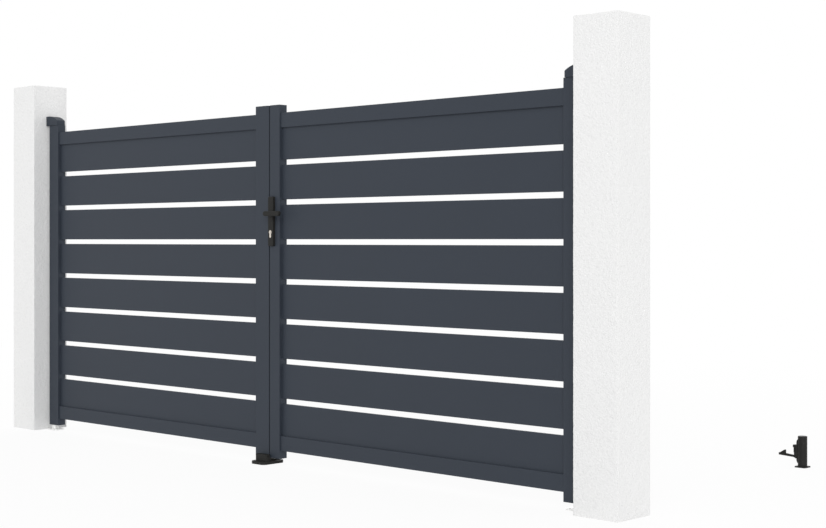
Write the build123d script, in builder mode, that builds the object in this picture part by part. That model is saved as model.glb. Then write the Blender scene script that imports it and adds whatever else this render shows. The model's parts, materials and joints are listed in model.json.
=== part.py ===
# Double swing gate: two slatted leaves on pivot hinges between rendered pillars.
# X runs along the gate from the left pillar, Y away from the street, Z up, in millimetres.
# The origin is the middle of the left pillar's foot, and both leaves open towards +Y.
import os

from build123d import *

os.makedirs("parts", exist_ok=True)

# Pillars and the opening between them
opening = 3500.0
pillar_side = 196.0
pillar_height = 1786.0
pillar_edge_radius = 4.0

# Leaf frames: upright stiles with level rails between them
stile_width = 80.0
stile_depth = 44.0
stile_length = 1550.0
stile_lift = 27.0
stile_edge_radius = 2.0
pillar_gap = 24.0
meeting_gap = 6.0
meeting_offset = 12.6
lip_thickness = 6.0
lip_edge_radius = 2.8
rail_height = 65.0
rail_depth = 30.0
rail_inset = 34.5
rail_edge_radius = 1.5
tenon_length = 12.0
tenon_fit = 0.2

# Slats, the top and bottom ones housed in the rails
slat_count = 8
slat_thickness = 10.0
slat_gap = 23.0
slat_housing = 10.75
slat_edge_radius = 1.5

# Pivot hinges: a pin from the hood above and a pin from the floor below
pivot_inset = 20.0
pin_radius = 8.0
pin_reach = 45.0
pin_clearance = 0.3
seat_clearance = 0.3
hood_reach = 97.0
hood_depth = 50.0
hood_flat_reach = 20.0
hood_height = 48.5
hood_nose_height = 24.5
hood_nose_radius = 6.0
hood_gap = 2.0
hood_edge_radius = 2.5
hood_pin_depth = 30.0
pivot_plate_start = 4.0
pivot_plate_length = 86.0
pivot_plate_width = 58.0
pivot_plate_thickness = 6.0
pivot_plate_corner = 8.0
pivot_collar_radius = 18.0

# Lock set on the right-hand leaf
lock_backset = 19.2
lock_plate_width = 33.0
lock_plate_height = 217.0
lock_plate_thickness = 13.5
lock_plate_corner = 5.0
lock_plate_bevel = 2.0
lever_height = 1100.0
lock_plate_drop = 33.5
cylinder_drop = 81.0
lever_reach = 95.5
lever_bar_height = 22.0
lever_bar_thickness = 13.0
lever_stand_off = 37.0
lever_bar_edge = 4.0
lever_neck_radius = 9.0
lever_end_play = 0.5
spindle_side = 8.0
spindle_clearance = 2.4
cylinder_barrel_radius = 8.5
cylinder_web_width = 10.0
cylinder_web_drop = 19.5
cylinder_projection = 0.5
edge_plate_width = 22.0
edge_plate_length = 200.0
edge_plate_thickness = 3.0
latch_slot_width = 13.0
latch_slot_height = 32.0

# Floor stop in front of the left-hand leaf's meeting stile
stop_offset = -10.0
stop_plate_width = 92.0
stop_plate_front = 76.0
stop_plate_back = 52.0
stop_plate_thickness = 12.5
stop_plate_front_corner = 22.0
stop_plate_back_corner = 24.0
stop_plate_edge = 1.2
stop_block_width = 74.0
stop_block_depth = 26.0
stop_block_top = 42.5
stop_block_corner = 8.0
stop_clearance = 5.0
stop_step_width = 64.0
stop_step_back = 16.0
stop_step_top = 20.0
stop_step_corner = 6.0
stop_bolt_radius = 4.5
stop_bolt_back = 31.0
stop_bolt_spacing = 44.0

# Keepers that hold the leaves open
keeper_reach = 1501.0
keeper_clearance = 5.0
keeper_post_radius = 20.0
keeper_post_height = 135.0
keeper_post_edge = 2.0
keeper_plate_side = 52.0
keeper_plate_thickness = 5.0
keeper_plate_corner = 6.0
bumper_reach = 42.0
bumper_top = 95.0
bumper_lip_height = 11.5
bumper_setback = 5.0
housing_reach = 25.0
housing_bottom = 12.0
housing_top = 126.0
housing_corner = 20.0
housing_edge = 1.2
housing_width = 20.0
catch_pivot_reach = 28.0
catch_pivot_height = 44.0
catch_arm_width = 10.0
catch_arm_thickness = 8.0
catch_arm_rise = 5.5
catch_sole_rise = 5.2
catch_side_clearance = 1.5
catch_head_clearance = 7.0
catch_pin_radius = 3.5
catch_eye_radius = 6.0
catch_lug_radius = 7.5
tooth_top = 68.5
tooth_tip_height = 54.0
tooth_knee_reach = 22.0
tooth_knee_height = 57.5
tooth_length = 31.0
tooth_flat = 4.0
keeper_slot_bottom = 9.0

# Places that follow from the sizes above
face_x = {"left": pillar_side / 2, "right": pillar_side / 2 + opening}
inward = {"left": 1, "right": -1}
middle = (face_x["left"] + face_x["right"]) / 2
meeting_x = {
    "left": middle + meeting_offset - meeting_gap / 2,
    "right": middle + meeting_offset + meeting_gap / 2,
}
stile_top = stile_lift + stile_length
bottom_rail_low = stile_lift + rail_inset
top_rail_low = stile_top - rail_inset - rail_height
slat_low = bottom_rail_low + rail_height - slat_housing
slat_high = top_rail_low + slat_housing
slat_height = (slat_high - slat_low - (slat_count - 1) * slat_gap) / slat_count
slat_pitch = slat_height + slat_gap
slat_middles = [slat_low + slat_height / 2 + i * slat_pitch for i in range(slat_count)]
rail_middles = [bottom_rail_low + rail_height / 2, top_rail_low + rail_height / 2]
mortise_depth = tenon_length + tenon_fit
hood_bottom = stile_top + hood_gap
lock_x = meeting_x["right"] + lock_backset
lock_plate_middle = lever_height - lock_plate_drop
cylinder_height = lever_height - cylinder_drop
keeper_notch = rail_depth + 2 * keeper_clearance


def from_pillar(side, reach):
    """X at a distance from a pillar's inner face, measured into the opening."""
    return face_x[side] + inward[side] * reach


def save(piece, node):
    """Label a finished piece and write it as a node."""
    piece.part.label = node
    export_step(piece.part, f"parts/{node}.step")


# Hinge stiles and pivots share one upright axis on each side
axis_x = {side: from_pillar(side, pillar_gap + pivot_inset) for side in face_x}
hinge_inner_x = {side: from_pillar(side, pillar_gap + stile_width) for side in face_x}
meeting_inner_x = {side: middle - inward[side] * stile_width for side in face_x}


def make_pillar(side):
    """A rendered block with softly rounded corners."""
    with BuildPart() as pillar:
        with BuildSketch():
            with Locations((from_pillar(side, -pillar_side / 2), 0)):
                RectangleRounded(pillar_side, pillar_side, pillar_edge_radius)
        extrude(amount=pillar_height)
    save(pillar, f"{side}_pillar")


def mortise_outlines():
    """Sockets for the slat and rail ends, as seen on a stile's inner face."""
    with Locations(*[(0, z) for z in slat_middles]):
        Rectangle(slat_thickness + 2 * tenon_fit, slat_height + 2 * tenon_fit)
    with Locations(*[(0, z) for z in rail_middles]):
        Rectangle(rail_depth + 2 * tenon_fit, rail_height + 2 * tenon_fit)


def make_hinge_stile(side):
    """The stile that turns on the pins, bored at both ends."""
    bore_radius = pin_radius + pin_clearance
    bore_depth = pin_reach + seat_clearance
    with BuildPart() as stile:
        with BuildSketch(Plane.XY.offset(stile_lift)):
            with Locations((from_pillar(side, pillar_gap + stile_width / 2), 0)):
                RectangleRounded(stile_width, stile_depth, stile_edge_radius)
        extrude(amount=stile_length)
        with BuildSketch(Plane.YZ.offset(hinge_inner_x[side])):
            mortise_outlines()
        extrude(amount=-inward[side] * mortise_depth, mode=Mode.SUBTRACT)
        with Locations((axis_x[side], 0, stile_top)):
            Hole(bore_radius, depth=bore_depth)
        with Locations(Plane((axis_x[side], 0, stile_lift), z_dir=(0, 0, -1))):
            Hole(bore_radius, depth=bore_depth)
    save(stile, f"{side}_hinge_stile")


def euro_profile(clearance):
    """The keyhole-shaped section of the lock cylinder."""
    with Locations((lock_x, cylinder_height)):
        Circle(cylinder_barrel_radius + clearance)
    with Locations((lock_x, cylinder_height - cylinder_web_drop / 2)):
        Rectangle(cylinder_web_width + 2 * clearance, cylinder_web_drop)
    with Locations((lock_x, cylinder_height - cylinder_web_drop)):
        Circle(cylinder_web_width / 2 + clearance)


def edge_plate_outline(clearance):
    """The round-ended outline of the plate in a meeting stile's edge."""
    with Locations((0, lock_plate_middle)):
        SlotOverall(
            edge_plate_length + 2 * clearance, edge_plate_width + 2 * clearance, rotation=90
        )


def make_left_meeting_stile():
    """The stile with the lip that covers the gap between the leaves."""
    lip_width = meeting_x["left"] - middle + 2 * stile_edge_radius
    with BuildPart() as stile:
        with BuildSketch(Plane.XY.offset(stile_lift)):
            with Locations((middle - stile_width / 2, 0)):
                RectangleRounded(stile_width, stile_depth, stile_edge_radius)
            with Locations((meeting_x["left"], -stile_depth / 2)):
                RectangleRounded(
                    lip_width, lip_thickness, lip_edge_radius, align=(Align.MAX, Align.MIN)
                )
        extrude(amount=stile_length)
        with BuildSketch(Plane.YZ.offset(meeting_inner_x["left"])):
            mortise_outlines()
        extrude(amount=mortise_depth, mode=Mode.SUBTRACT)
        with BuildSketch(Plane.YZ.offset(middle)):
            edge_plate_outline(tenon_fit)
        extrude(amount=-edge_plate_thickness - tenon_fit, mode=Mode.SUBTRACT)
    save(stile, "left_meeting_stile")


def make_right_meeting_stile():
    """The lock stile, pierced for the spindle and the cylinder."""
    width = meeting_inner_x["right"] - meeting_x["right"]
    spindle_bore = spindle_side / 2 ** 0.5 + spindle_clearance
    with BuildPart() as stile:
        with BuildSketch(Plane.XY.offset(stile_lift)):
            with Locations((meeting_x["right"] + width / 2, 0)):
                RectangleRounded(width, stile_depth, stile_edge_radius)
        extrude(amount=stile_length)
        with BuildSketch(Plane.YZ.offset(meeting_inner_x["right"])):
            mortise_outlines()
        extrude(amount=-mortise_depth, mode=Mode.SUBTRACT)
        with BuildSketch(Plane.YZ.offset(meeting_x["right"])):
            edge_plate_outline(tenon_fit)
        extrude(amount=edge_plate_thickness + tenon_fit, mode=Mode.SUBTRACT)
        with BuildSketch(Plane.XZ):
            with Locations((lock_x, lever_height)):
                Circle(spindle_bore)
            euro_profile(tenon_fit)
        extrude(amount=stile_depth, both=True, mode=Mode.SUBTRACT)
    save(stile, "right_meeting_stile")


def make_rails(side):
    """Top and bottom rails, grooved along the edge that houses a slat."""
    length = abs(meeting_inner_x[side] - hinge_inner_x[side]) + 2 * tenon_length
    leaf_middle = (meeting_inner_x[side] + hinge_inner_x[side]) / 2
    groove_width = slat_thickness + 2 * tenon_fit
    groove_depth = slat_housing + tenon_fit
    groove_edges = {"bottom": bottom_rail_low + rail_height, "top": top_rail_low}
    for (place, groove_z), rail_z in zip(groove_edges.items(), rail_middles):
        with BuildPart() as rail:
            with BuildSketch(Plane.YZ.offset(leaf_middle)):
                with Locations((0, rail_z)):
                    RectangleRounded(rail_depth, rail_height, rail_edge_radius)
                with Locations((0, groove_z)):
                    Rectangle(groove_width, 2 * groove_depth, mode=Mode.SUBTRACT)
            extrude(amount=length / 2, both=True)
        save(rail, f"{side}_{place}_rail")


def make_slats(side):
    """Level boards with eased long edges, tenoned into both stiles."""
    length = abs(meeting_inner_x[side] - hinge_inner_x[side]) + 2 * tenon_length
    leaf_middle = (meeting_inner_x[side] + hinge_inner_x[side]) / 2
    for number, slat_z in enumerate(slat_middles, start=1):
        with BuildPart() as slat:
            with BuildSketch(Plane.YZ.offset(leaf_middle)):
                with Locations((0, slat_z)):
                    RectangleRounded(slat_thickness, slat_height, slat_edge_radius)
            extrude(amount=length / 2, both=True)
        save(slat, f"{side}_slat_{number}")


def make_hood(side):
    """The wall bracket over a hinge stile, with a nose that rounds down to the leaf."""
    hood_top = hood_bottom + hood_height
    flat_end = (from_pillar(side, hood_flat_reach), hood_top)
    nose = (from_pillar(side, hood_reach), hood_bottom + hood_nose_height)
    with BuildPart() as hood:
        with BuildSketch(Plane.XZ) as outline:
            with BuildLine():
                Polyline(
                    flat_end,
                    (from_pillar(side, 0), hood_top),
                    (from_pillar(side, 0), hood_bottom),
                    (from_pillar(side, hood_reach), hood_bottom),
                    nose,
                )
                TangentArc(flat_end, nose, tangent=(inward[side], 0))
            make_face()
            front = outline.vertices().sort_by(Axis.X, reverse=inward[side] > 0)[:2]
            fillet(front.sort_by(Axis.Y)[-1], radius=hood_nose_radius)
        extrude(amount=hood_depth / 2, both=True)
        side_edges = hood.faces().filter_by(Axis.Y).edges()
        clear_of_wall = side_edges.filter_by(
            lambda edge: abs(edge.center().X - face_x[side]) > 1 and edge.center().Z > hood_bottom + 1
        )
        fillet(clear_of_wall, radius=hood_edge_radius)
        with Locations(Plane((axis_x[side], 0, hood_bottom), z_dir=(0, 0, -1))):
            Hole(pin_radius + tenon_fit, depth=hood_pin_depth)
    save(hood, f"{side}_hinge_hood")


def make_top_pin(side):
    """The pin that hangs from the hood into the stile's upper bore."""
    length = hood_pin_depth + hood_gap + pin_reach
    with BuildPart() as pin:
        with BuildSketch(Plane.XY.offset(stile_top - pin_reach)):
            with Locations((axis_x[side], 0)):
                Circle(pin_radius)
        extrude(amount=length)
        chamfer(pin.edges().sort_by(Axis.Z)[0], length=pin_radius / 4)
    save(pin, f"{side}_top_pin")


def make_floor_pivot(side):
    """A floor plate with the collar and pin that carry a leaf."""
    with BuildPart() as pivot:
        with BuildSketch():
            with Locations((from_pillar(side, pivot_plate_start + pivot_plate_length / 2), 0)):
                RectangleRounded(pivot_plate_length, pivot_plate_width, pivot_plate_corner)
        extrude(amount=pivot_plate_thickness)
        with BuildSketch():
            with Locations((axis_x[side], 0)):
                Circle(pivot_collar_radius)
        extrude(amount=stile_lift - seat_clearance)
        with BuildSketch():
            with Locations((axis_x[side], 0)):
                Circle(pin_radius)
        extrude(amount=stile_lift + pin_reach)
        chamfer(pivot.edges().sort_by(Axis.Z)[-1], length=pin_radius / 4)
    save(pivot, f"{side}_floor_pivot")


def make_lock_plate(node, street):
    """A long plate on one face of the lock stile, pierced for the lever and the cylinder."""
    with BuildPart() as plate:
        with BuildSketch(Plane.XZ.offset(street * stile_depth / 2)):
            with Locations((lock_x, lock_plate_middle)):
                RectangleRounded(lock_plate_width, lock_plate_height, lock_plate_corner)
            with Locations((lock_x, lever_height)):
                Circle(lever_neck_radius + pin_clearance, mode=Mode.SUBTRACT)
        extrude(amount=street * lock_plate_thickness)
        outer_face = plate.faces().sort_by(Axis.Y)[0 if street > 0 else -1]
        chamfer(outer_face.outer_wire().edges(), length=lock_plate_bevel)
        with BuildSketch(Plane.XZ):
            euro_profile(tenon_fit)
        extrude(amount=street * (stile_depth + lock_plate_thickness), mode=Mode.SUBTRACT)
    save(plate, node)


def make_lever(node, street):
    """A straight lever on its neck, pointing away from the leaf's free edge."""
    neck_start = stile_depth / 2 + lever_end_play
    bar_start = stile_depth / 2 + lever_stand_off
    bar_left = lock_x - lever_bar_height / 2
    bar_length = lever_reach + lever_bar_height / 2
    with BuildPart() as lever:
        with BuildSketch(Plane.XZ.offset(street * neck_start)):
            with Locations((lock_x, lever_height)):
                Circle(lever_neck_radius)
        extrude(amount=street * (bar_start - neck_start + lever_bar_thickness / 2))
        with BuildSketch(Plane.XZ.offset(street * bar_start)):
            with Locations((bar_left + bar_length / 2, lever_height)):
                SlotOverall(bar_length, lever_bar_height)
        extrude(amount=street * lever_bar_thickness)
        outer_face = lever.faces().sort_by(Axis.Y)[0 if street > 0 else -1]
        fillet(outer_face.outer_wire().edges(), radius=lever_bar_edge)
    save(lever, node)


def make_spindle():
    """The square bar that joins the two levers through the stile."""
    with BuildPart() as spindle:
        with Locations((lock_x, 0, lever_height)):
            Box(spindle_side, stile_depth + 2 * lever_end_play, spindle_side)
    save(spindle, "lever_spindle")


def make_lock_cylinder():
    """The profile cylinder, just proud of both plates."""
    half_length = stile_depth / 2 + lock_plate_thickness + cylinder_projection
    with BuildPart() as cylinder:
        with BuildSketch(Plane.XZ):
            euro_profile(0)
        extrude(amount=half_length, both=True)
    save(cylinder, "lock_cylinder")


def make_edge_plate(node, stile_face_x, into):
    """A thin round-ended plate let in flush, with the latch's slot."""
    with BuildPart() as plate:
        with BuildSketch(Plane.YZ.offset(stile_face_x)):
            edge_plate_outline(0)
            with Locations((0, lever_height)):
                Rectangle(latch_slot_width, latch_slot_height, mode=Mode.SUBTRACT)
        extrude(amount=into * edge_plate_thickness)
    save(plate, node)


def make_centre_stop():
    """A floor plate with a step under the leaves and an upstand that they close against."""
    plate_length = stop_plate_front + stop_plate_back
    stop_x = middle + stop_offset
    block_y = -stile_depth / 2 - stop_clearance - stop_block_depth / 2
    step_length = stop_step_back - block_y
    with BuildPart() as stop:
        with BuildSketch() as plate:
            with Locations((stop_x, stop_plate_back - plate_length / 2)):
                Rectangle(stop_plate_width, plate_length)
            fillet(plate.vertices().group_by(Axis.Y)[0], radius=stop_plate_front_corner)
            fillet(plate.vertices().group_by(Axis.Y)[-1], radius=stop_plate_back_corner)
        extrude(amount=stop_plate_thickness)
        chamfer(stop.faces().sort_by(Axis.Z)[-1].edges(), length=stop_plate_edge)
        with BuildSketch():
            with Locations((stop_x, stop_step_back - step_length / 2)):
                RectangleRounded(stop_step_width, step_length, stop_step_corner)
        extrude(amount=stop_step_top)
        fillet(stop.faces().sort_by(Axis.Z)[-1].edges(), radius=stop_step_corner / 2)
        with BuildSketch():
            with Locations((stop_x, block_y)):
                RectangleRounded(stop_block_width, stop_block_depth, stop_block_corner)
        extrude(amount=stop_block_top)
        fillet(stop.faces().sort_by(Axis.Z)[-1].edges(), radius=stop_block_corner / 2)
        hole_places = [stop_x - stop_bolt_spacing / 2, stop_x + stop_bolt_spacing / 2]
        with Locations(*[(x, stop_bolt_back, stop_plate_thickness) for x in hole_places]):
            Hole(stop_bolt_radius, depth=stop_plate_thickness)
    save(stop, "centre_stop")


def make_keeper(side):
    """A floor post with the slotted housing that carries a catch and a lipped bumper."""
    post_x = axis_x[side] - inward[side] * (keeper_notch / 2 + bumper_reach)
    slot_top = catch_pivot_height + catch_arm_thickness / 2 + catch_head_clearance
    slot_half_width = catch_arm_width / 2 + catch_side_clearance
    cheek_bottom = catch_pivot_height - catch_arm_thickness / 2

    def reach_x(reach):
        return post_x + inward[side] * reach

    def upright(reach, low, high):
        with Locations((reach_x(reach / 2), (low + high) / 2)):
            Rectangle(reach, high - low)

    with BuildPart() as keeper:
        with BuildSketch(Plane.XZ.offset(-keeper_reach)) as outline:
            upright(housing_reach, housing_bottom, housing_top)
            front = outline.vertices().sort_by(Axis.X, reverse=inward[side] > 0)[:2]
            fillet(front, radius=housing_corner)
            upright(bumper_reach - bumper_setback, cheek_bottom, bumper_top)
            upright(bumper_reach, bumper_top - bumper_lip_height, bumper_top)
            with Locations((reach_x(catch_pivot_reach), catch_pivot_height)):
                Circle(catch_lug_radius)
        extrude(amount=housing_width / 2, both=True)
        chamfer(keeper.faces().filter_by(Axis.Y).edges(), length=housing_edge)
        with BuildSketch(Plane.XZ.offset(-keeper_reach)):
            upright(2 * bumper_reach, keeper_slot_bottom, slot_top)
        extrude(amount=slot_half_width, both=True, mode=Mode.SUBTRACT)
        with BuildSketch(Plane.XZ.offset(-keeper_reach)):
            with Locations((reach_x(catch_pivot_reach), catch_pivot_height)):
                Circle(catch_pin_radius + pin_clearance)
        extrude(amount=housing_width, both=True, mode=Mode.SUBTRACT)
        with BuildSketch():
            with Locations((post_x, keeper_reach)):
                Circle(keeper_post_radius)
        extrude(amount=keeper_post_height)
        top_edge = keeper.faces().sort_by(Axis.Z)[-1].edges()
        fillet(top_edge, radius=keeper_post_edge)
        with BuildSketch():
            with Locations((post_x, keeper_reach)):
                RectangleRounded(keeper_plate_side, keeper_plate_side, keeper_plate_corner)
        extrude(amount=keeper_plate_thickness)
    save(keeper, f"{side}_keeper")


def make_catch(side):
    """The sprung arm whose tooth rises behind an open leaf's bottom rail."""
    pivot_x = axis_x[side] - inward[side] * (keeper_notch / 2 + bumper_reach - catch_pivot_reach)
    tooth_face_x = axis_x[side] + inward[side] * keeper_notch / 2
    arm_low = catch_pivot_height - catch_arm_thickness / 2
    arm_high = catch_pivot_height + catch_arm_thickness / 2

    def tooth_x(reach):
        return tooth_face_x + inward[side] * reach

    with BuildPart() as catch:
        with BuildSketch(Plane.XZ.offset(-keeper_reach)):
            with BuildLine():
                Polyline(
                    (pivot_x, arm_low),
                    (tooth_x(tooth_length), arm_low + catch_sole_rise),
                    (tooth_x(tooth_length), tooth_tip_height),
                    (tooth_x(tooth_knee_reach), tooth_knee_height),
                    (tooth_x(tooth_flat), tooth_top),
                    (tooth_x(0), tooth_top),
                    (tooth_x(0), arm_high + catch_arm_rise),
                    (pivot_x, arm_high),
                    close=True,
                )
            make_face()
            with Locations((pivot_x, catch_pivot_height)):
                Circle(catch_eye_radius)
        extrude(amount=catch_arm_width / 2, both=True)
        with BuildSketch(Plane.XZ.offset(-keeper_reach)):
            with Locations((pivot_x, catch_pivot_height)):
                Circle(catch_pin_radius)
        extrude(amount=housing_width / 2, both=True)
    save(catch, f"{side}_catch")


for side in face_x:
    make_pillar(side)
    make_hood(side)
    make_top_pin(side)
    make_floor_pivot(side)
    make_hinge_stile(side)
    make_rails(side)
    make_slats(side)
    make_keeper(side)
    make_catch(side)

make_left_meeting_stile()
make_right_meeting_stile()
make_lock_plate("outer_lock_plate", 1)
make_lock_plate("inner_lock_plate", -1)
make_lever("outer_lever", 1)
make_lever("inner_lever", -1)
make_spindle()
make_lock_cylinder()
make_edge_plate("lock_edge_plate", meeting_x["right"], 1)
make_edge_plate("strike_plate", middle, -1)
make_centre_stop()
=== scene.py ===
import json
import math

import bmesh
import bpy
from mathutils import Matrix, Vector, noise


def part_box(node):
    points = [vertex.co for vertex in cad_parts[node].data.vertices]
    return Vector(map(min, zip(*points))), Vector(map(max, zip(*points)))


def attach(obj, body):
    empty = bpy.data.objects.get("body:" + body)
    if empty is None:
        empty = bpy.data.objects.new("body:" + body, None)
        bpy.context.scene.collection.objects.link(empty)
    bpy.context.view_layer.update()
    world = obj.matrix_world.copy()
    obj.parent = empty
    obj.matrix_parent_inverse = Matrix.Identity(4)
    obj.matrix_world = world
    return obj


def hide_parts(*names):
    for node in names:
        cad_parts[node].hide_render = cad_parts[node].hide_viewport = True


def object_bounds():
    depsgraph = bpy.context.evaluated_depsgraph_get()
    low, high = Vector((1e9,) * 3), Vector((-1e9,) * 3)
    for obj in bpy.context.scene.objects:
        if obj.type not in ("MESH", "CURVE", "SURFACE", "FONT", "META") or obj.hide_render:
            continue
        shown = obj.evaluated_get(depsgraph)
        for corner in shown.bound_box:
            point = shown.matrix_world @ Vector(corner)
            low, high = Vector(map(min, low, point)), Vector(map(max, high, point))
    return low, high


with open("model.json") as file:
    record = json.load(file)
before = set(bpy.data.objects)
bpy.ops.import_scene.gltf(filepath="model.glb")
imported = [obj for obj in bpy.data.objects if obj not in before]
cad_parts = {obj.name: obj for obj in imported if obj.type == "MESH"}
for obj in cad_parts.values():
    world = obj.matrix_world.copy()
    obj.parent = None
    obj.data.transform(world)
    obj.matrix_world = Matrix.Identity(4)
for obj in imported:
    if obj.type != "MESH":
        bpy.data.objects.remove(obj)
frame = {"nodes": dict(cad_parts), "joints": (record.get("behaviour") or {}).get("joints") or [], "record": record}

bl_info = {
    "name": "Double Swing Gate Dressing",
    "version": (1, 0, 0),
    "blender": (4, 5, 0),
    "location": "View3D > Sidebar > Gate",
    "description": "Finishes, fasteners, seals and stage for a slatted double swing gate",
    "category": "Object",
}

CAD_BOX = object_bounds()
NODES = frame["nodes"]
JOINT_PLACE = {joint["name"]: Vector(joint["pos_m"]) for joint in frame["joints"]}
SIDES = {"left": 1, "right": -1}
STREET = Vector((0, -1, 0))
YARD = Vector((0, 1, 0))
UP = Vector((0, 0, 1))
MM = 0.001


# Settings a user would change

class GateFinishes(bpy.types.PropertyGroup):
    """Colours of the gate's finishes."""

    coat: bpy.props.FloatVectorProperty(
        name="Powder coat", description="Coat on stiles, rails, slats and hoods",
        subtype="COLOR", size=3, min=0, max=1, default=(0.0348, 0.0428, 0.0568))
    render: bpy.props.FloatVectorProperty(
        name="Render", description="Rough plaster on the pillars",
        subtype="COLOR", size=3, min=0, max=1, default=(0.843, 0.843, 0.841))
    hardware: bpy.props.FloatVectorProperty(
        name="Hardware", description="Satin coat on the lock set, stop and keepers",
        subtype="COLOR", size=3, min=0, max=1, default=(0.0190, 0.0188, 0.0178))
    # the rubber colour also serves as the painted shade on the key slots' floors
    rubber: bpy.props.FloatVectorProperty(
        name="Rubber", description="Pads and seal",
        subtype="COLOR", size=3, min=0, max=1, default=(0.019, 0.0195, 0.021))
    zinc: bpy.props.FloatVectorProperty(
        name="Zinc", description="Plating on the floor pivots",
        subtype="COLOR", size=3, min=0, max=1, default=(0.88, 0.88, 0.87))
    steel: bpy.props.FloatVectorProperty(
        name="Steel", description="Pins, spindle and edge plates",
        subtype="COLOR", size=3, min=0, max=1, default=(0.58, 0.58, 0.59))
    nickel: bpy.props.FloatVectorProperty(
        name="Nickel", description="Lock cylinder",
        subtype="COLOR", size=3, min=0, max=1, default=(0.76, 0.70, 0.63))


class GateSizes(bpy.types.PropertyGroup):
    """Sizes of the small pieces added over the frame."""

    render_relief: bpy.props.FloatProperty(
        name="Render relief", description="Depth of the plaster's rough surface",
        unit="LENGTH", min=0, default=0.0016)
    render_step: bpy.props.FloatProperty(
        name="Render step", description="Spacing of the plaster's mesh",
        unit="LENGTH", min=0.003, default=0.0052)
    render_corner: bpy.props.FloatProperty(
        name="Render corner", description="Rounding of the pillar's arrises",
        unit="LENGTH", min=0, default=0.0016)
    cap_rise: bpy.props.FloatProperty(
        name="Cap rise", description="Height of a meeting stile's end cap",
        unit="LENGTH", min=0, default=0.0007)
    hinge_cap_rise: bpy.props.FloatProperty(
        name="Hinge cap rise", description="Height of the cap under a hood",
        unit="LENGTH", min=0, default=0.0013)
    seal_thickness: bpy.props.FloatProperty(
        name="Seal thickness", description="Depth of the bulb seal behind the lip",
        unit="LENGTH", min=0, default=0.0064)
    seal_clearance: bpy.props.FloatProperty(
        name="Seal clearance", description="Room between the seal and the other leaf",
        unit="LENGTH", min=0, default=0.0007)
    pad_thickness: bpy.props.FloatProperty(
        name="Pad thickness", description="Rubber pads on the stop and the keepers",
        unit="LENGTH", min=0, default=0.0032)
    screw_radius: bpy.props.FloatProperty(
        name="Screw head", description="Radius of a countersunk screw head",
        unit="LENGTH", min=0, default=0.0042)
    bolt_radius: bpy.props.FloatProperty(
        name="Bolt head", description="Corner radius of a hexagon bolt head",
        unit="LENGTH", min=0, default=0.0075)


class GateStage(bpy.types.PropertyGroup):
    """Camera, lamps and floor."""

    camera_place: bpy.props.FloatVectorProperty(
        name="Camera place", description="Where the camera stands",
        subtype="TRANSLATION", size=3, default=(6.8954, -4.3861, 0.9841))
    camera_turn: bpy.props.FloatProperty(
        name="Camera turn", description="Heading of the level camera, from +Y towards -X",
        subtype="ANGLE", default=math.radians(43.628))
    camera_lens: bpy.props.FloatProperty(
        name="Lens", description="Focal length on a 36 mm sensor", unit="CAMERA", default=65.61)
    camera_drop: bpy.props.FloatProperty(
        name="Frame drop", description="Vertical shift that puts the horizon in its place",
        default=-0.02885)
    dome: bpy.props.FloatProperty(
        name="Dome", description="Level of the even light all round", min=0, default=0.80)
    key: bpy.props.FloatProperty(
        name="Key", description="Power of the soft lamp in front", unit="POWER", min=0, default=9100.0)
    key_place: bpy.props.FloatVectorProperty(
        name="Key place", description="The front lamp's place, from the gate's middle",
        subtype="TRANSLATION", size=3, default=(32.5, -35.0, 17.5))
    key_size: bpy.props.FloatProperty(
        name="Key size", description="Width of the front lamp", unit="LENGTH", min=0, default=22.0)
    fill: bpy.props.FloatProperty(
        name="Fill", description="Power of the soft lamp behind", unit="POWER", min=0, default=500.0)
    fill_place: bpy.props.FloatVectorProperty(
        name="Fill place", description="The back lamp's place, from the gate's middle",
        subtype="TRANSLATION", size=3, default=(-8.0, 10.0, 6.0))
    fill_size: bpy.props.FloatProperty(
        name="Fill size", description="Width of the back lamp", unit="LENGTH", min=0, default=9.0)
    floor: bpy.props.FloatVectorProperty(
        name="Floor", description="Pale floor", subtype="COLOR", size=3, min=0, max=1,
        default=(0.86, 0.86, 0.86))
    floor_white: bpy.props.FloatProperty(
        name="Floor white", description="Share of plain white in the floor beside the gate",
        subtype="FACTOR", min=0, max=1, default=0.93)


# Shader values as Python expressions

class Shade:
    """A socket of a node tree; sums on it add Math nodes."""

    def __init__(self, tree, socket=None):
        self.tree = tree
        self.socket = socket

    def add(self, kind, settings=None, inputs=None, output=0):
        """Make a node, set its settings, then its sockets, and give one of its outputs."""
        node = self.tree.nodes.new(kind)
        for name, value in (settings or {}).items():
            if name == "stops":
                for element, (place, level) in zip(node.color_ramp.elements, value):
                    element.position = place
                    element.color = (level, level, level, 1)
            else:
                setattr(node, name, value)
        for name, value in (inputs or {}).items():
            if isinstance(value, Shade):
                self.tree.links.new(value.socket, node.inputs[name])
            else:
                node.inputs[name].default_value = value
        return Shade(self.tree, node.outputs[output] if node.outputs else None)

    def math(self, operation, first, second=0.0):
        """The result of a Math node on two values."""
        return self.add("ShaderNodeMath", {"operation": operation}, {0: first, 1: second})

    def mix(self, factor, low, high):
        """Blend two colours by a value."""
        colours = [c if isinstance(c, Shade) else (*c, 1) for c in (low, high)]
        settings = {"data_type": "RGBA", "clamp_factor": True}
        return self.add("ShaderNodeMix", settings, {0: factor, 6: colours[0], 7: colours[1]}, 2)

    def __add__(self, other):
        return self.math("ADD", self, other)

    def __sub__(self, other):
        return self.math("SUBTRACT", self, other)

    def __rsub__(self, other):
        return self.math("SUBTRACT", other, self)

    def __mul__(self, other):
        return self.math("MULTIPLY", self, other)

    __radd__ = __add__
    __rmul__ = __mul__


def tone(colour, level):
    """A colour made lighter or darker."""
    return tuple(min(1.0, channel * level) for channel in colour)


def start_finish(name):
    """A fresh material and its place-in-object coordinate."""
    material = bpy.data.materials.new(name)
    material.use_nodes = True
    material.node_tree.nodes.clear()
    tree = Shade(material.node_tree)
    return material, tree, tree.add("ShaderNodeTexCoord", output="Object")


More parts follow.
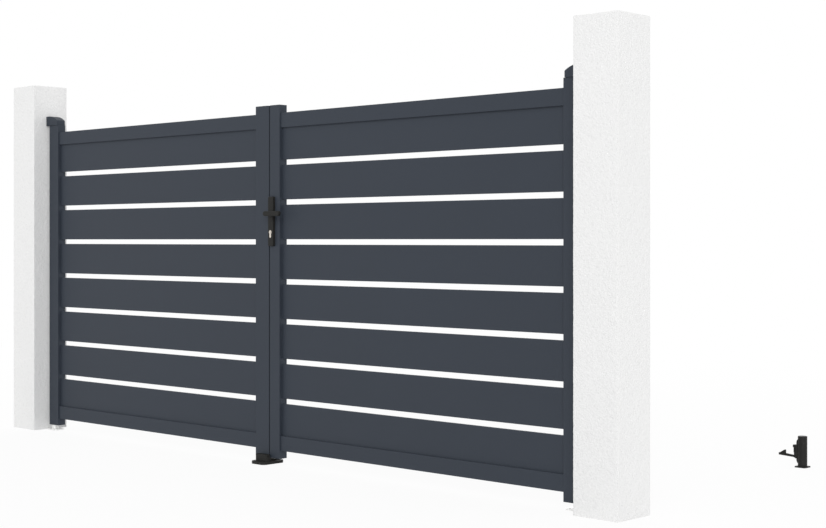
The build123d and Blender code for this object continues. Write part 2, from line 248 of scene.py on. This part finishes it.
def end_finish(tree, inputs):
    """Close a material with the main shader."""
    surface = tree.add("ShaderNodeBsdfPrincipled", inputs=inputs)
    tree.add("ShaderNodeOutputMaterial", inputs={"Surface": surface})


def cloud(tree, place, scale, detail=2.0):
    """Smooth noise, about 0.5 on average, with patches 1/scale metres across."""
    return tree.add("ShaderNodeTexNoise", inputs={"Vector": place, "Scale": scale, "Detail": detail})


def powder_coat(colour):
    """Fine-textured matt coat with a faint drift of tone from panel to panel."""
    material, tree, place = start_finish("fine_powder_coat")
    drift = cloud(tree, place, 1.7)
    grain = cloud(tree, place, 850.0, 3.0)
    fleck = cloud(tree, place, 260.0, 4.0)
    shade = tree.mix(drift * 0.45 + grain * 0.35 + fleck * 0.2, tone(colour, 0.82), tone(colour, 1.18))
    bump = tree.add("ShaderNodeBump", inputs={
        "Strength": 0.35, "Distance": 0.0005, "Height": grain + fleck * 0.6})
    end_finish(tree, {
        "Base Color": shade, "Roughness": grain * 0.16 + drift * 0.10 + 0.42,
        "Specular IOR Level": 0.22, "Normal": bump})
    return material


def rough_render(colour):
    """White rubbed plaster: coarse grains, small pits and painted shade that makes the colour a little darker in
    the hollows.
    """
    material, tree, place = start_finish("rough_render")
    lumps = cloud(tree, place, 95.0, 5.0)
    sand = cloud(tree, place, 420.0, 3.0)
    drift = cloud(tree, place, 6.0)
    cells = tree.add("ShaderNodeTexVoronoi", {"feature": "SMOOTH_F1"}, {
        "Vector": place, "Scale": 160.0, "Smoothness": 0.6})
    pit_shade = tree.add("ShaderNodeValToRGB", {"stops": [(0.30, 0.0), (0.46, 1.0)]}, {"Fac": lumps})
    height = lumps * 1.2 + sand * 0.5 - cells * 0.5
    bump = tree.add("ShaderNodeBump", inputs={"Strength": 0.5, "Distance": 0.004, "Height": height})
    body = tree.mix(drift * 0.4 + sand * 0.6, tone(colour, 0.968), tone(colour, 1.03))
    # painted shade: the colour is a little darker where the relief sinks into its hollows
    shade = tree.mix(pit_shade, tone(colour, 0.955), body)
    end_finish(tree, {
        "Base Color": shade, "Roughness": 0.9 + sand * 0.08,
        "Specular IOR Level": 0.15, "Normal": bump})
    return material


def satin_black(colour):
    """Satin coat on cast hardware, worn a little paler in faint patches."""
    material, tree, place = start_finish("satin_black_coat")
    peel = cloud(tree, place, 700.0, 4.0)
    drift = cloud(tree, place, 22.0, 4.0)
    shade = tree.mix(drift * 0.7 + peel * 0.3, tone(colour, 0.7), tone(colour, 1.45))
    bump = tree.add("ShaderNodeBump", inputs={"Strength": 0.5, "Distance": 0.0008, "Height": peel})
    end_finish(tree, {
        "Base Color": shade, "Roughness": drift * 0.16 + peel * 0.12 + 0.36,
        "Specular IOR Level": 0.12, "Normal": bump})
    return material


def black_rubber(colour):
    """Moulded rubber with a dull fine pebble."""
    material, tree, place = start_finish("black_rubber")
    pebble = cloud(tree, place, 900.0, 2.0)
    dust = cloud(tree, place, 40.0, 4.0)
    bump = tree.add("ShaderNodeBump", inputs={"Strength": 0.3, "Distance": 0.0004, "Height": pebble})
    end_finish(tree, {
        "Base Color": tree.mix(dust, tone(colour, 0.8), tone(colour, 2.2)),
        "Roughness": dust * 0.2 + 0.68, "Specular IOR Level": 0.25, "Normal": bump})
    return material


def zinc_plate(colour):
    """Zinc plating with soft crystal patches."""
    material, tree, place = start_finish("zinc_plate")
    crystal = tree.add("ShaderNodeTexVoronoi", inputs={"Vector": place, "Scale": 140.0}, output="Color")
    level = tree.add("ShaderNodeSeparateColor", inputs={"Color": crystal})
    drift = cloud(tree, place, 60.0, 4.0)
    bump = tree.add("ShaderNodeBump", inputs={"Strength": 0.15, "Distance": 0.0004, "Height": drift})
    end_finish(tree, {
        "Base Color": tree.mix(level * 0.6 + drift * 0.4, tone(colour, 0.84), tone(colour, 1.1)),
        "Metallic": 0.55, "Roughness": level * 0.14 + drift * 0.18 + 0.32, "Normal": bump})
    return material


def brushed_metal(name, colour, stretch, roughness):
    """Metal brushed along one axis: fine lines in tone, gloss and relief."""
    material, tree, place = start_finish(name)
    along = tree.add("ShaderNodeMapping", inputs={"Vector": place, "Scale": stretch})
    lines = cloud(tree, along, 1.0, 3.0)
    smear = cloud(tree, place, 45.0, 3.0)
    bump = tree.add("ShaderNodeBump", inputs={"Strength": 0.12, "Distance": 0.0002, "Height": lines})
    end_finish(tree, {
        "Base Color": tree.mix(lines * 0.7 + smear * 0.3, tone(colour, 0.82), tone(colour, 1.12)),
        "Metallic": 1.0, "Roughness": lines * 0.14 + smear * 0.12 + roughness, "Normal": bump})
    return material


def finish(name):
    """The material of a slot, made the first time it is asked for."""
    colours = bpy.context.scene.gate_finishes
    makers = {
        "anthracite": lambda: powder_coat(colours.coat),
        "render": lambda: rough_render(colours.render),
        "black": lambda: satin_black(colours.hardware),
        "rubber": lambda: black_rubber(colours.rubber),
        "zinc": lambda: zinc_plate(colours.zinc),
        "steel": lambda: brushed_metal("brushed_steel", colours.steel, (900, 900, 30), 0.24),
        "nickel": lambda: brushed_metal("satin_nickel", colours.nickel, (1200, 40, 1200), 0.16),
    }
    if name not in FINISHES:
        FINISHES[name] = makers[name]()
    return FINISHES[name]


FINISHES = {}


# Mesh helpers

def aim(place, direction):
    """A frame at a place whose Z axis points along a direction."""
    turn = Vector(direction).to_track_quat("Z", "Y").to_matrix().to_4x4()
    return Matrix.Translation(place) @ turn


def evenly(steps):
    """Angles that divide a full turn into equal steps."""
    return [math.tau * i / steps for i in range(steps)]


def skin(bm, loops):
    """Join rings of equal length into a strip of quads."""
    for low, high in zip(loops, loops[1:]):
        for i in range(len(low)):
            bm.faces.new((low[i - 1], low[i], high[i], high[i - 1]))


def ring_around(bm, place, radius, height, angles, sides=0):
    """A ring about the place's Z axis: round, or a polygon of that corner radius."""
    ring = []
    for angle in angles:
        reach = radius
        if sides:
            half = math.pi / sides
            reach = radius * math.cos(half) / math.cos(angle % (2 * half) - half)
        ring.append(bm.verts.new(place @ Vector((reach * math.cos(angle), reach * math.sin(angle), height))))
    return ring


def ring_along(bm, place, points, height):
    """A ring through XY points at a height above the place."""
    return [bm.verts.new(place @ Vector((x, y, height))) for x, y in points]


def turned(bm, place, rings, steps=24):
    """Turn rings of (radius, height, sides) about the place's Z axis and close both ends."""
    loops = [ring_around(bm, place, radius, height, evenly(steps), sides) for radius, height, sides in rings]
    skin(bm, loops)
    bm.faces.new(loops[0])
    bm.faces.new(loops[-1])


def socket_screw(bm, place, radius):
    """A countersunk head that stands a hair proud, with a hexagon socket."""
    turned(bm, place, [
        (radius * 0.6, -radius * 0.5, 0), (radius, -0.02 * MM, 0), (radius, 0.25 * MM, 0),
        (radius * 0.93, 0.45 * MM, 0), (radius * 0.55, 0.5 * MM, 6), (radius * 0.5, 0.4 * MM, 6),
        (radius * 0.48, -radius * 0.3, 6)])


def hex_bolt(bm, place, radius):
    """A hexagon head with its chamfer, on a washer."""
    washer = 1.6 * MM
    turned(bm, place, [
        (radius * 1.3, 0, 0), (radius * 1.36, 0.3 * MM, 0), (radius * 1.36, washer - 0.2 * MM, 0),
        (radius * 1.28, washer + 0.1 * MM, 0), (radius * 0.9, washer + 0.1 * MM, 0)])
    turned(bm, place, [
        (radius, washer, 6), (radius, washer + radius * 0.55, 6),
        (radius * 0.86, washer + radius * 0.68, 0), (radius * 0.5, washer + radius * 0.68, 0)])


def dome_rivet(bm, place, radius):
    """A low domed rivet head."""
    turned(bm, place, [
        (radius, -0.3 * MM, 0), (radius, radius * 0.12, 0), (radius * 0.88, radius * 0.34, 0),
        (radius * 0.62, radius * 0.5, 0), (radius * 0.3, radius * 0.57, 0)])


def slab(bm, low, high, edge, segments=3):
    """A block with all its edges rounded."""
    made = bmesh.ops.create_cube(bm, size=1.0)["verts"]
    for vert in made:
        vert.co = Vector([low[k] if vert.co[k] < 0 else high[k] for k in range(3)])
    edges = list({e for v in made for e in v.link_edges})
    bmesh.ops.bevel(bm, geom=edges, offset=edge, segments=segments, affect="EDGES", profile=0.5)


def rounded_outline(low, high, radius, steps=5):
    """Corner-rounded rectangle, as XY points in order."""
    points = []
    corners = [(high[0], high[1], 0), (low[0], high[1], 1), (low[0], low[1], 2), (high[0], low[1], 3)]
    for x, y, quarter in corners:
        centre_x = x - radius if x == high[0] else x + radius
        centre_y = y - radius if y == high[1] else y + radius
        for k in range(steps + 1):
            angle = (quarter + k / steps) * math.pi / 2
            points.append((centre_x + radius * math.cos(angle), centre_y + radius * math.sin(angle)))
    return points


def loop_edges(bm, loop):
    """The edges of a closed ring of points."""
    return [bm.edges.get((loop[i - 1], loop[i])) for i in range(len(loop))]


def end_cap(bm, low, high, z, rise, hole=None):
    """A thin lid on a stile's end; hole is (x, y, radius) where a pin passes."""
    edge, corner, top_corner = 0.6 * MM, 2.0 * MM, 1.6 * MM
    end_place = Matrix.Translation((0, 0, z))
    outer = rounded_outline(low, high, corner)
    top = rounded_outline((low[0] + edge, low[1] + edge), (high[0] - edge, high[1] - edge), top_corner)
    levels = [(outer, 0), (outer, rise * 0.55), (top, rise)]
    rings = [ring_along(bm, end_place, points, height) for points, height in levels]
    skin(bm, rings)
    ends = [loop_edges(bm, rings[0]), loop_edges(bm, rings[-1])]
    if hole:
        x, y, radius = hole
        pin_place = Matrix.Translation((x, y, z))
        bore = [ring_around(bm, pin_place, radius, height, evenly(32)) for height in (0, rise)]
        skin(bm, bore)
        ends[0] += loop_edges(bm, bore[0])
        ends[1] += loop_edges(bm, bore[1])
    for edges in ends:
        bmesh.ops.triangle_fill(bm, use_beauty=True, edges=edges)


def add_piece(name, bm, material, body, replaced=(), crease=38):
    """Finish a mesh, give it its material and hang it on its body; bends past crease degrees stay sharp."""
    bmesh.ops.recalc_face_normals(bm, faces=bm.faces)
    mesh = bpy.data.meshes.new(name)
    bm.to_mesh(mesh)
    bm.free()
    mesh.shade_smooth()
    mesh.set_sharp_from_angle(angle=math.radians(crease))
    mesh.materials.append(finish(material))
    piece = bpy.data.objects.new(name, mesh)
    bpy.context.scene.collection.objects.link(piece)
    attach(piece, body)
    if replaced:
        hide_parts(*replaced)
    return piece


def dress(nodes, material):
    """Give frame nodes their finish."""
    for node in nodes:
        for slot in NODES[node].material_slots:
            slot.material = finish(material)


def middle_of(node):
    """The middle of a node's box."""
    low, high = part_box(node)
    return (low + high) / 2


# Pieces

class GATE_OT_render_pillars(bpy.types.Operator):
    """Plaster both pillars with rough white render"""
    bl_idname = "gate.render_pillars"
    bl_label = "Render pillars"

    grains_per_metre = 105.0
    patches_per_metre = 38.0
    sways_per_metre = 5.0

    def execute(self, context):
        sizes = context.scene.gate_sizes
        for side in SIDES:
            node = f"{side}_pillar"
            bm = self.plaster(*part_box(node), sizes.render_step, sizes.render_corner, sizes.render_relief)
            add_piece(f"{side}_pillar_render", bm, "render", "root", [node])
        return {"FINISHED"}

    def plaster(self, low, high, step, corner, relief):
        """A block of fine quads, its arrises eased and its faces roughened about the wall's line."""
        bm = bmesh.new()
        size = high - low
        counts = [max(2, round(size[k] / step)) for k in range(3)]
        for axis in range(3):
            for end in (low[axis], high[axis]):
                self.face_grid(bm, low, size, axis, end, counts)
        bmesh.ops.remove_doubles(bm, verts=bm.verts, dist=0.1 * MM)
        inset = Vector((corner, corner, corner))
        inner_low, inner_high = low + inset, high - inset
        inner_low.z = low.z
        for vert in bm.verts:
            core = Vector([min(max(vert.co[k], inner_low[k]), inner_high[k]) for k in range(3)])
            outward = vert.co - core
            if outward.length < 1e-6:
                continue
            outward.normalize()
            depth = relief * self.roughness(vert.co)
            vert.co = core + outward * (corner + relief / 2 - depth)
        return bm

    def face_grid(self, bm, low, size, axis, end, counts):
        """One face of the block, square to an axis, as rows of quads."""
        across, along = (axis + 1) % 3, (axis + 2) % 3
        rows = []
        for i in range(counts[across] + 1):
            row = []
            for j in range(counts[along] + 1):
                point = Vector((0, 0, 0))
                point[axis] = end
                point[across] = low[across] + size[across] * i / counts[across]
                point[along] = low[along] + size[along] * j / counts[along]
                row.append(bm.verts.new(point))
            rows.append(row)
        for i in range(counts[across]):
            for j in range(counts[along]):
                bm.faces.new((rows[i][j], rows[i + 1][j], rows[i + 1][j + 1], rows[i][j + 1]))

    def roughness(self, point):
        """Depth of the plaster at a point, from 0 on the highest grains to about 1."""
        grains = noise.noise(point * self.grains_per_metre)
        patches = noise.noise(point * self.patches_per_metre)
        sway = noise.noise(point * self.sways_per_metre)
        return min(1.0, max(0.0, 0.5 + 0.42 * grains + 0.25 * patches + 0.18 * sway))


class GATE_OT_coat_leaves(bpy.types.Operator):
    """Coat the stiles, rails, slats and hoods"""
    bl_idname = "gate.coat_leaves"
    bl_label = "Coat leaves"

    def execute(self, context):
        words = ("stile", "rail", "slat", "hood")
        dress([n for n in NODES if any(w in n for w in words)], "anthracite")
        return {"FINISHED"}


class GATE_OT_cap_stiles(bpy.types.Operator):
    """Close the stiles with end caps and seal the gap behind the lip"""
    bl_idname = "gate.cap_stiles"
    bl_label = "Cap stiles"

    pin_hole_radius = 9.5 * MM
    chamfer_crease = 20
    seal_setback = 7.0 * MM
    seal_end_gap = 0.5 * MM
    seal_steps = 16

    def execute(self, context):
        sizes = context.scene.gate_sizes
        for side in SIDES:
            bm = bmesh.new()
            low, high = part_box(f"{side}_hinge_stile")
            pin = middle_of(f"{side}_top_pin")
            end_cap(bm, low, high, high.z, sizes.hinge_cap_rise, (pin.x, pin.y, self.pin_hole_radius))
            low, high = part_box(f"{side}_meeting_stile")
            if side == "left":
                high.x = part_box("strike_plate")[1].x
            end_cap(bm, low, high, high.z, sizes.cap_rise)
            end_cap(bm, low, high, low.z, -sizes.cap_rise)
            name, body = f"{side}_stile_caps", f"{side}_leaf"
            add_piece(name, bm, "anthracite", body, crease=self.chamfer_crease)
        self.seal(sizes.seal_thickness, sizes.seal_clearance)
        return {"FINISHED"}

    def seal(self, thickness, clearance):
        """A bulb strip on the left leaf's edge that closes the seam behind the lip."""
        low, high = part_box("left_meeting_stile")
        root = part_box("strike_plate")[1].x
        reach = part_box("right_meeting_stile")[0].x - clearance - root
        front = low.y + self.seal_setback
        outline = []
        for k in range(self.seal_steps + 1):
            angle = math.pi * (k / self.seal_steps - 0.5)
            swell = math.cos(angle) ** 0.5
            outline.append((root + reach * swell, front + thickness * (0.5 + 0.5 * math.sin(angle))))
        bm = bmesh.new()
        ends = (low.z + self.seal_end_gap, high.z - self.seal_end_gap)
        rings = [ring_along(bm, Matrix.Identity(4), outline, z) for z in ends]
        skin(bm, rings)
        for ring in rings:
            bm.faces.new(ring)
        add_piece("lip_seal", bm, "rubber", "left_leaf")


class GATE_OT_fit_hinges(bpy.types.Operator):
    """Finish the pins and floor pivots and fasten the pivots and hoods"""
    bl_idname = "gate.fit_hinges"
    bl_label = "Fit hinges"

    plate_thickness = 6.0 * MM
    plate_screw_inset_x = 12 * MM
    plate_screw_inset_y = 11 * MM
    plate_screw_scale = 1.1
    hood_screw_inset = 14 * MM
    hood_screw_drops = (13 * MM, 32 * MM)

    def execute(self, context):
        radius = context.scene.gate_sizes.screw_radius
        for side, inward in SIDES.items():
            dress([f"{side}_top_pin"], "steel")
            dress([f"{side}_floor_pivot"], "zinc")
            low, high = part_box(f"{side}_floor_pivot")
            plate_top = low.z + self.plate_thickness
            bm = bmesh.new()
            for x in (low.x + self.plate_screw_inset_x, high.x - self.plate_screw_inset_x):
                for y in (low.y + self.plate_screw_inset_y, high.y - self.plate_screw_inset_y):
                    socket_screw(bm, aim((x, y, plate_top), UP), radius * self.plate_screw_scale)
            add_piece(f"{side}_pivot_screws", bm, "steel", "root")
            low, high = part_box(f"{side}_hinge_hood")
            wall = low.x if inward > 0 else high.x
            bm = bmesh.new()
            for drop in self.hood_screw_drops:
                place = (wall + inward * self.hood_screw_inset, high.y, high.z - drop)
                socket_screw(bm, aim(place, YARD), radius)
            add_piece(f"{side}_hood_screws", bm, "steel", "root")
        return {"FINISHED"}


class GATE_OT_fit_lock(bpy.types.Operator):
    """Finish the lock set and add its screws, bushes, plugs and latch"""
    bl_idname = "gate.fit_lock"
    bl_label = "Fit lock"

    screw_inset = 13 * MM
    edge_screw_scale = 0.9
    neck_radius = 8.9 * MM
    grub_reach = 12 * MM
    key_slot_low = (-0.9 * MM, -4.2 * MM)
    key_slot_high = (0.9 * MM, 3.4 * MM)
    key_slot_corner = 0.8 * MM
    key_slot_spread = 4
    key_floor_growth = (1.15, 1.05)
    latch_half_width = 5.8 * MM
    latch_half_height = 15 * MM
    latch_setback = 0.4 * MM
    latch_edge = 1.2 * MM
    tray_half_width = 6.3 * MM
    tray_half_height = 15.8 * MM
    tray_depth = 0.9 * MM
    tray_edge = 0.3 * MM
    seat = 0.1 * MM

    def execute(self, context):
        radius = context.scene.gate_sizes.screw_radius
        dress(["outer_lock_plate", "inner_lock_plate", "outer_lever", "inner_lever"], "black")
        dress(["lever_spindle", "lock_edge_plate", "strike_plate"], "steel")
        dress(["lock_cylinder"], "nickel")
        self.plate_fittings(radius)
        self.plugs()
        self.edge_fittings(radius)
        return {"FINISHED"}

    def plate_fittings(self, radius):
        """Screws in the yard-side plate, bushes round both necks, a grub screw under each."""
        axis = JOINT_PLACE["lever_turn"]
        low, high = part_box("inner_lock_plate")
        bm = bmesh.new()
        for z in (low.z + self.screw_inset, high.z - self.screw_inset):
            socket_screw(bm, aim((axis.x, high.y, z), YARD), radius)
        add_piece("lock_plate_screws", bm, "steel", "right_leaf")
        bushes = bmesh.new()
        grubs = bmesh.new()
        for node, way in (("outer_lock_plate", STREET), ("inner_lock_plate", YARD)):
            low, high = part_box(node)
            face = low.y if way.y < 0 else high.y
            self.bush(bushes, aim((axis.x, face, axis.z), way))
            under = Vector((axis.x, face + way.y * self.grub_reach, axis.z - self.neck_radius))
            turned(grubs, aim(under, -UP), [
                (2.6 * MM, -1 * MM, 0), (2.6 * MM, 0.5 * MM, 0), (2.3 * MM, 0.7 * MM, 0),
                (1.4 * MM, 0.7 * MM, 6), (1.3 * MM, -0.6 * MM, 6)])
        add_piece("lever_bushes", bushes, "black", "right_leaf")
        add_piece("lever_grub_screws", grubs, "steel", "lever")

    def bush(self, bm, place):
        """A moulded collar round the lever's neck, as a closed ring of (radius, height) in millimetres."""
        section = [(9.6, -0.5), (13.4, -0.5), (13.4, 1.8), (12.8, 2.5), (10.4, 3.0), (9.6, 2.7)]
        loops = [ring_around(bm, place, radius * MM, height * MM, evenly(40)) for radius, height in section]
        skin(bm, loops + loops[:1])

    def plugs(self):
        """The turning plug at each end of the cylinder, with its key slot, whose black floor one millimetre down
        is painted shade standing in for the deep keyway.
        """
        low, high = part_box("lock_cylinder")
        barrel = (high.x - low.x) / 2
        centre = Vector(((low.x + high.x) / 2, 0, high.z - barrel))
        slot_points = rounded_outline(self.key_slot_low, self.key_slot_high, self.key_slot_corner)
        wider, taller = self.key_floor_growth
        floor_points = [(x * wider, y * taller) for x, y in slot_points]
        angles = [math.atan2(y, x * self.key_slot_spread) for x, y in slot_points]
        plugs = bmesh.new()
        slot_shade_floors = bmesh.new()
        for way, face in ((STREET, low.y), (YARD, high.y)):
            place = aim((centre.x, face, centre.z), way)
            rim = ((6.4, -0.2), (6.4, 0.9), (6.0, 1.3))
            loops = [ring_around(plugs, place, radius * MM, height * MM, angles) for radius, height in rim]
            loops += [ring_along(plugs, place, slot_points, height * MM) for height in (1.3, 0.15)]
            skin(plugs, loops)
            plugs.faces.new(loops[0])
            # painted shade: a black floor one millimetre down in the slot stands in for the dark of the deep
            # keyway
            floor = ring_along(slot_shade_floors, place, floor_points, 0.3 * MM)
            under = ring_along(slot_shade_floors, place, floor_points, -0.2 * MM)
            skin(slot_shade_floors, [under, floor])
            slot_shade_floors.faces.new(floor)
            slot_shade_floors.faces.new(under)
        add_piece("cylinder_plugs", plugs, "nickel", "right_leaf")
        add_piece("key_slot_shade", slot_shade_floors, "rubber", "right_leaf")

    def edge_fittings(self, radius):
        """Screws and latch in the two edge plates."""
        height = JOINT_PLACE["lever_turn"].z
        for node, body, way in (("lock_edge_plate", "right_leaf", -1), ("strike_plate", "left_leaf", 1)):
            low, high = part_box(node)
            face = high.x if way > 0 else low.x
            bm = bmesh.new()
            for z in (low.z + self.screw_inset, high.z - self.screw_inset):
                socket_screw(bm, aim((face, 0, z), (way, 0, 0)), radius * self.edge_screw_scale)
            add_piece(f"{node}_screws", bm, "steel", body)
        low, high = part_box("lock_edge_plate")
        latch = bmesh.new()
        slab(latch,
             (low.x + self.latch_setback, -self.latch_half_width, height - self.latch_half_height),
             (high.x + self.seat, self.latch_half_width, height + self.latch_half_height), self.latch_edge)
        add_piece("latch_bolt", latch, "steel", "right_leaf")
        low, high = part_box("strike_plate")
        tray = bmesh.new()
        slab(tray,
             (low.x - self.seat, -self.tray_half_width, height - self.tray_half_height),
             (low.x + self.tray_depth, self.tray_half_width, height + self.tray_half_height), self.tray_edge)
        add_piece("strike_tray", tray, "rubber", "left_leaf")


class GATE_OT_fit_stop(bpy.types.Operator):
    """Finish the floor stop and add its pad and bolts"""
    bl_idname = "gate.fit_stop"
    bl_label = "Fit stop"

    running_gap = 5.0 * MM
    plate_thickness = 12.5 * MM
    pad_inset = 15 * MM
    pad_bottom = 23 * MM
    pad_drop = 7 * MM
    pad_root = 1.0 * MM
    pad_edge = 1.4 * MM

    def execute(self, context):
        sizes = context.scene.gate_sizes
        dress(["centre_stop"], "black")
        low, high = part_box("centre_stop")
        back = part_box("left_meeting_stile")[0].y - self.running_gap
        pad = bmesh.new()
        slab(pad, (low.x + self.pad_inset, back - self.pad_root, self.pad_bottom),
             (high.x - self.pad_inset, back + sizes.pad_thickness, high.z - self.pad_drop), self.pad_edge)
        add_piece("stop_pad", pad, "rubber", "root")
        mount = next(m for m in frame["record"]["mounts"] if m["name"] == "stop_bolts")
        x, y, _ = mount["pos_m"]
        half_gap = mount["dims"]["spacing_x_mm"] * MM / 2
        bolts = bmesh.new()
        for place in (x - half_gap, x + half_gap):
            hex_bolt(bolts, aim((place, y, self.plate_thickness), UP), sizes.bolt_radius)
        add_piece("stop_anchor_bolts", bolts, "black", "root")
        return {"FINISHED"}


class GATE_OT_fit_keepers(bpy.types.Operator):
    """Finish the keepers and their catches and add pads, rivets and screws"""
    bl_idname = "gate.fit_keepers"
    bl_label = "Fit keepers"

    bumper_setback = 5.0 * MM
    pad_half_width = 7 * MM
    pad_bottom = 61 * MM
    pad_top = 83 * MM
    pad_root = 1.0 * MM
    pad_edge = 1.4 * MM
    foot_thickness = 5.0 * MM
    foot_screw_reach = 20.5 * MM
    foot_screw_scale = 0.9
    rivet_radius = 5.2 * MM

    def execute(self, context):
        sizes = context.scene.gate_sizes
        for side, inward in SIDES.items():
            dress([f"{side}_keeper", f"{side}_catch"], "black")
            low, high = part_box(f"{side}_keeper")
            half_foot = (high.y - low.y) / 2
            post_x = low.x + half_foot if inward > 0 else high.x - half_foot
            post_y = (low.y + high.y) / 2
            bumper = high.x if inward > 0 else low.x
            face = bumper - inward * self.bumper_setback
            ends = sorted((face - inward * self.pad_root, face + inward * sizes.pad_thickness))
            pad = bmesh.new()
            slab(pad, (ends[0], post_y - self.pad_half_width, self.pad_bottom),
                 (ends[1], post_y + self.pad_half_width, self.pad_top), self.pad_edge)
            add_piece(f"{side}_keeper_pad", pad, "rubber", "root")
            screws = bmesh.new()
            for x in (-self.foot_screw_reach, self.foot_screw_reach):
                for y in (-self.foot_screw_reach, self.foot_screw_reach):
                    place = (post_x + x, post_y + y, self.foot_thickness)
                    socket_screw(screws, aim(place, UP), sizes.screw_radius * self.foot_screw_scale)
            add_piece(f"{side}_keeper_screws", screws, "black", "root")
            pivot = JOINT_PLACE[f"{side}_catch_tilt"]
            low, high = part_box(f"{side}_catch")
            rivets = bmesh.new()
            for end, way in ((low.y, STREET), (high.y, YARD)):
                dome_rivet(rivets, aim((pivot.x, end, pivot.z), way), self.rivet_radius)
            add_piece(f"{side}_catch_rivets", rivets, "black", f"{side}_catch")
        return {"FINISHED"}


class GATE_OT_set_stage(bpy.types.Operator):
    """Lay the floor, hang the lamps and place the camera"""
    bl_idname = "gate.set_stage"
    bl_label = "Set stage"

    floor_radius = 60.0
    floor_drop = 0.2 * MM
    shadow_from = 3.0
    shadow_to = 8.0

    def execute(self, context):
        scene = context.scene
        stage = scene.gate_stage
        scene.view_settings.view_transform = "Standard"
        self.floor(scene, stage)
        self.sky(scene, stage)
        self.lamp(scene, "front_lamp", stage.key_place, stage.key_size, stage.key)
        self.lamp(scene, "back_lamp", stage.fill_place, stage.fill_size, stage.fill)
        camera = bpy.data.objects.new("camera", bpy.data.cameras.new("camera"))
        camera.location = stage.camera_place
        camera.rotation_euler = (math.pi / 2, 0, stage.camera_turn)
        camera.data.sensor_fit = "HORIZONTAL"
        camera.data.sensor_width = 36.0
        camera.data.lens = stage.camera_lens
        camera.data.shift_y = stage.camera_drop
        scene.collection.objects.link(camera)
        scene.camera = camera
        return {"FINISHED"}

    def shown(self, tree):
        """1 for rays that show a surface to the eye: straight, mirrored or through glass."""
        rays = [tree.add("ShaderNodeLightPath", output=f"Is {kind} Ray")
                for kind in ("Camera", "Glossy", "Transmission")]
        return tree.math("MINIMUM", rays[0] + rays[1] + rays[2], 1.0)

    def floor(self, scene, stage):
        """A wide disc that turns to plain white away from the gate and keeps its shadow near it."""
        bm = bmesh.new()
        bmesh.ops.create_circle(bm, cap_ends=True, radius=self.floor_radius, segments=96)
        mesh = bpy.data.meshes.new("floor")
        bm.to_mesh(mesh)
        bm.free()
        disc = bpy.data.objects.new("floor", mesh)
        disc.location = ((CAD_BOX[0].x + CAD_BOX[1].x) / 2, 0, -self.floor_drop)
        scene.collection.objects.link(disc)
        material, tree, place = start_finish("pale_floor")
        away = tree.add("ShaderNodeVectorMath", {"operation": "LENGTH"}, {0: place}, "Value")
        far = tree.add("ShaderNodeMapRange", {"interpolation_type": "SMOOTHSTEP"}, {
            "Value": away, "From Min": self.shadow_from, "From Max": self.shadow_to,
            "To Min": stage.floor_white, "To Max": 1.0})
        grey = tree.add("ShaderNodeBsdfDiffuse", inputs={"Color": (*stage.floor, 1)})
        white = tree.add("ShaderNodeEmission", inputs={"Color": (1, 1, 1, 1), "Strength": 1.0})
        surface = tree.add("ShaderNodeMixShader", inputs={0: self.shown(tree) * far, 1: grey, 2: white})
        tree.add("ShaderNodeOutputMaterial", inputs={"Surface": surface})
        mesh.materials.append(material)

    def sky(self, scene, stage):
        """Even light all round, seen as plain white."""
        world = bpy.data.worlds.new("even_light")
        world.use_nodes = True
        world.node_tree.nodes.clear()
        tree = Shade(world.node_tree)
        seen = self.shown(tree)
        level = seen + (1 - seen) * stage.dome
        surface = tree.add("ShaderNodeBackground", inputs={"Color": (1, 1, 1, 1), "Strength": level})
        tree.add("ShaderNodeOutputWorld", inputs={"Surface": surface})
        scene.world = world

    def lamp(self, scene, name, offset, size, power):
        """A round soft lamp, placed from the gate's middle and aimed at it."""
        centre = (CAD_BOX[0] + CAD_BOX[1]) / 2
        data = bpy.data.lights.new(name, "AREA")
        data.shape = "DISK"
        data.size = size
        data.energy = power
        lamp = bpy.data.objects.new(name, data)
        lamp.location = centre + Vector(offset)
        lamp.rotation_euler = (-Vector(offset)).to_track_quat("-Z", "Y").to_euler()
        scene.collection.objects.link(lamp)


class GATE_PT_dressing(bpy.types.Panel):
    """Steps and settings of the gate's dressing"""
    bl_idname = "GATE_PT_dressing"
    bl_label = "Swing gate"
    bl_space_type = "VIEW_3D"
    bl_region_type = "UI"
    bl_category = "Gate"

    def draw(self, context):
        """One button a step, then the settings in boxes."""
        for step in STEPS:
            self.layout.operator(step.bl_idname)
        for name in SETTINGS:
            group = getattr(context.scene, name)
            box = self.layout.box()
            for key in group.__annotations__:
                box.prop(group, key)


STEPS = (
    GATE_OT_render_pillars, GATE_OT_coat_leaves, GATE_OT_cap_stiles, GATE_OT_fit_hinges,
    GATE_OT_fit_lock, GATE_OT_fit_stop, GATE_OT_fit_keepers, GATE_OT_set_stage,
)
SETTINGS = {"gate_finishes": GateFinishes, "gate_sizes": GateSizes, "gate_stage": GateStage}
CLASSES = (*SETTINGS.values(), *STEPS, GATE_PT_dressing)


def register():
    """Add the classes and hang the settings on the scene."""
    for cls in CLASSES:
        bpy.utils.register_class(cls)
    for name, group in SETTINGS.items():
        setattr(bpy.types.Scene, name, bpy.props.PointerProperty(type=group))


def unregister():
    """Take the settings and the classes away again."""
    for name in SETTINGS:
        delattr(bpy.types.Scene, name)
    for cls in reversed(CLASSES):
        bpy.utils.unregister_class(cls)


def main():
    """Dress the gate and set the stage."""
    register()
    bpy.ops.gate.render_pillars()
    bpy.ops.gate.coat_leaves()
    bpy.ops.gate.cap_stiles()
    bpy.ops.gate.fit_hinges()
    bpy.ops.gate.fit_lock()
    bpy.ops.gate.fit_stop()
    bpy.ops.gate.fit_keepers()
    bpy.ops.gate.set_stage()
    bpy.context.view_layer.update()


if __name__ == "__main__":
    main()
